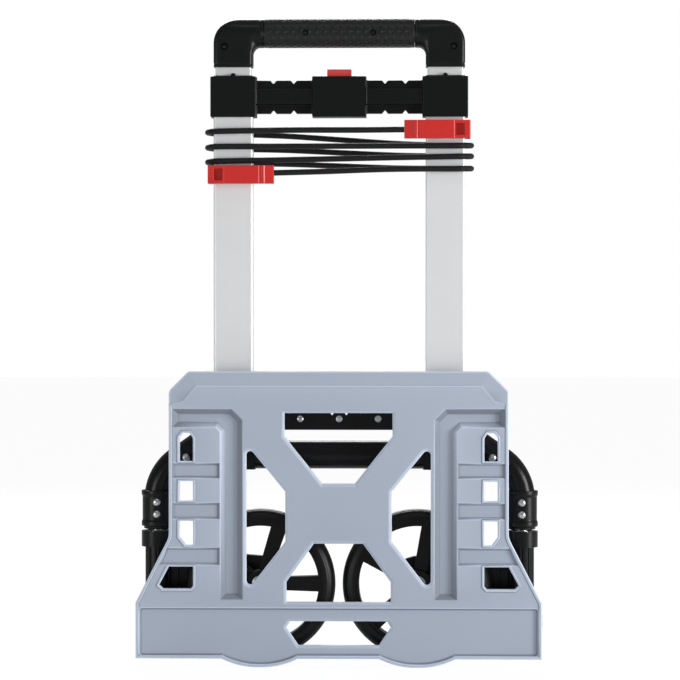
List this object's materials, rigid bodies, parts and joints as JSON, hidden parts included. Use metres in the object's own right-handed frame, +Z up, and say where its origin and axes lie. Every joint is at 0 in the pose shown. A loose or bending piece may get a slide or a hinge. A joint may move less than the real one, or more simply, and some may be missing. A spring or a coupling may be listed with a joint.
{
  "type": "folding luggage cart",
  "caption": "Folding hand cart with a fold-up toe plate, swing-out wheels, telescoping handle with release button, and an elastic cord with two hooks.",
  "frame": {"origin": "on the floor, centred on the folded cart's width and depth", "axes": "+X to the right seen from the front, +Y to the back, +Z up"},
  "size_m": [0.49, 0.0636, 0.7778],
  "materials": {
    "plate_plastic": "moulded, fine grain",
    "bright_steel": "zinc plated",
    "spring_steel": "bare spring wire",
    "black_plastic": "moulded satin",
    "handle_plastic": "moulded satin",
    "grip_rubber": "dimpled soft grip",
    "black_steel": "black powder coat",
    "wheel_plastic": "moulded satin",
    "tyre": "smooth rubber",
    "bush_plastic": "natural nylon",
    "rail_aluminium": "satin anodised",
    "red_plastic": "moulded",
    "hook_plastic": "moulded",
    "dark_steel": "blackened",
    "cord_fabric": "braided sleeve over rubber"
  },
  "bodies": {
    "frame": {"hinge_pin_left": "bright_steel", "hinge_pin_right": "bright_steel", "leg_foot_left": "black_plastic", "leg_foot_right": "black_plastic", "pivot_rod_left": "bright_steel", "pivot_rod_right": "bright_steel", "leg_collar_left": "black_plastic", "leg_collar_right": "black_plastic", "collar_rivets": "bright_steel", "shoulder_tube_left": "black_steel", "shoulder_tube_right": "black_steel", "cross_tube": "black_steel", "cross_tube_rivets": "bright_steel", "swing_spring_left": "spring_steel", "swing_spring_right": "spring_steel", "outer_rail_left": "rail_aluminium", "outer_rail_right": "rail_aluminium", "rail_socket_left": "black_plastic", "rail_socket_right": "black_plastic", "socket_screws": "bright_steel", "tie_bar": "black_steel", "tie_bar_screws": "bright_steel", "lock_housing_front": "black_plastic", "lock_housing_back": "black_plastic", "lock_housing_screws": "bright_steel", "rail_bush_left": "black_plastic", "rail_bush_right": "black_plastic", "button_spring": "spring_steel", "elastic_cord": "cord_fabric", "cord_hook_left": "hook_plastic", "cord_hook_right": "hook_plastic"},
    "toe_plate": {"toe_plate": "plate_plastic"},
    "wheel_arm_left": {"wheel_arm_left": "black_plastic", "axle_left": "bright_steel", "hub_cap_left": "wheel_plastic"},
    "wheel_arm_right": {"wheel_arm_right": "black_plastic", "axle_right": "bright_steel", "hub_cap_right": "wheel_plastic"},
    "wheel_left": {"wheel_rim_left": "wheel_plastic", "tyre_left": "tyre", "wheel_bush_left": "bush_plastic"},
    "wheel_right": {"wheel_rim_right": "wheel_plastic", "tyre_right": "tyre", "wheel_bush_right": "bush_plastic"},
    "handle": {"inner_rail_left": "rail_aluminium", "inner_rail_right": "rail_aluminium", "rail_plug_left": "black_plastic", "rail_plug_right": "black_plastic", "handle_elbow_left": "handle_plastic", "handle_elbow_right": "handle_plastic", "handle_core": "bright_steel", "grip_sleeve": "grip_rubber", "handle_screws": "dark_steel"},
    "release_button": {"release_button": "red_plastic"},
    "lock_bar_left": {"lock_bar_left": "bright_steel"},
    "lock_bar_right": {"lock_bar_right": "bright_steel"}
  },
  "joints": [
    {"name": "toe_plate_hinge", "type": "hinge", "parent": "frame", "child": "toe_plate", "pos_m": [0, 0.0118, 0.0516], "axis": [1, 0, 0], "range_deg": [0, 90]},
    {"name": "wheel_arm_left_swing", "type": "hinge", "parent": "frame", "child": "wheel_arm_left", "pos_m": [-0.2195, 0.0118, 0.11], "axis": [0, 0, 1], "range_deg": [0, 90]},
    {"name": "wheel_arm_right_swing", "type": "hinge", "parent": "frame", "child": "wheel_arm_right", "pos_m": [0.2195, 0.0118, 0.11], "axis": [0, 0, 1], "range_deg": [-90, 0]},
    {"name": "wheel_left_spin", "type": "hinge", "parent": "wheel_arm_left", "child": "wheel_left", "pos_m": [-0.0942, -0.0022, 0.098], "axis": [0, 1, 0], "continuous": true},
    {"name": "wheel_right_spin", "type": "hinge", "parent": "wheel_arm_right", "child": "wheel_right", "pos_m": [0.0942, -0.0022, 0.098], "axis": [0, 1, 0], "continuous": true},
    {"name": "handle_slide", "type": "slide", "parent": "frame", "child": "handle", "axis": [0, 0, 1], "range_m": [0, 0.31]},
    {"name": "release_button_press", "type": "slide", "parent": "frame", "child": "release_button", "axis": [0, 0, -1], "range_m": [0, 0.005], "stiffness_N_per_m": 800, "springref_m": -0.003, "deforming": ["button_spring"]},
    {"name": "lock_bar_left_slide", "type": "slide", "parent": "frame", "child": "lock_bar_left", "axis": [1, 0, 0], "range_m": [0, 0.005]},
    {"name": "lock_bar_right_slide", "type": "slide", "parent": "frame", "child": "lock_bar_right", "axis": [-1, 0, 0], "range_m": [0, 0.005]}
  ],
  "couplings": [
    {"joint": "wheel_arm_left_swing", "follows": "toe_plate_hinge", "ratio": 1},
    {"joint": "wheel_arm_right_swing", "follows": "toe_plate_hinge", "ratio": -1},
    {"joint": "lock_bar_left_slide", "follows": "release_button_press", "ratio": 1},
    {"joint": "lock_bar_right_slide", "follows": "release_button_press", "ratio": 1}
  ]
}
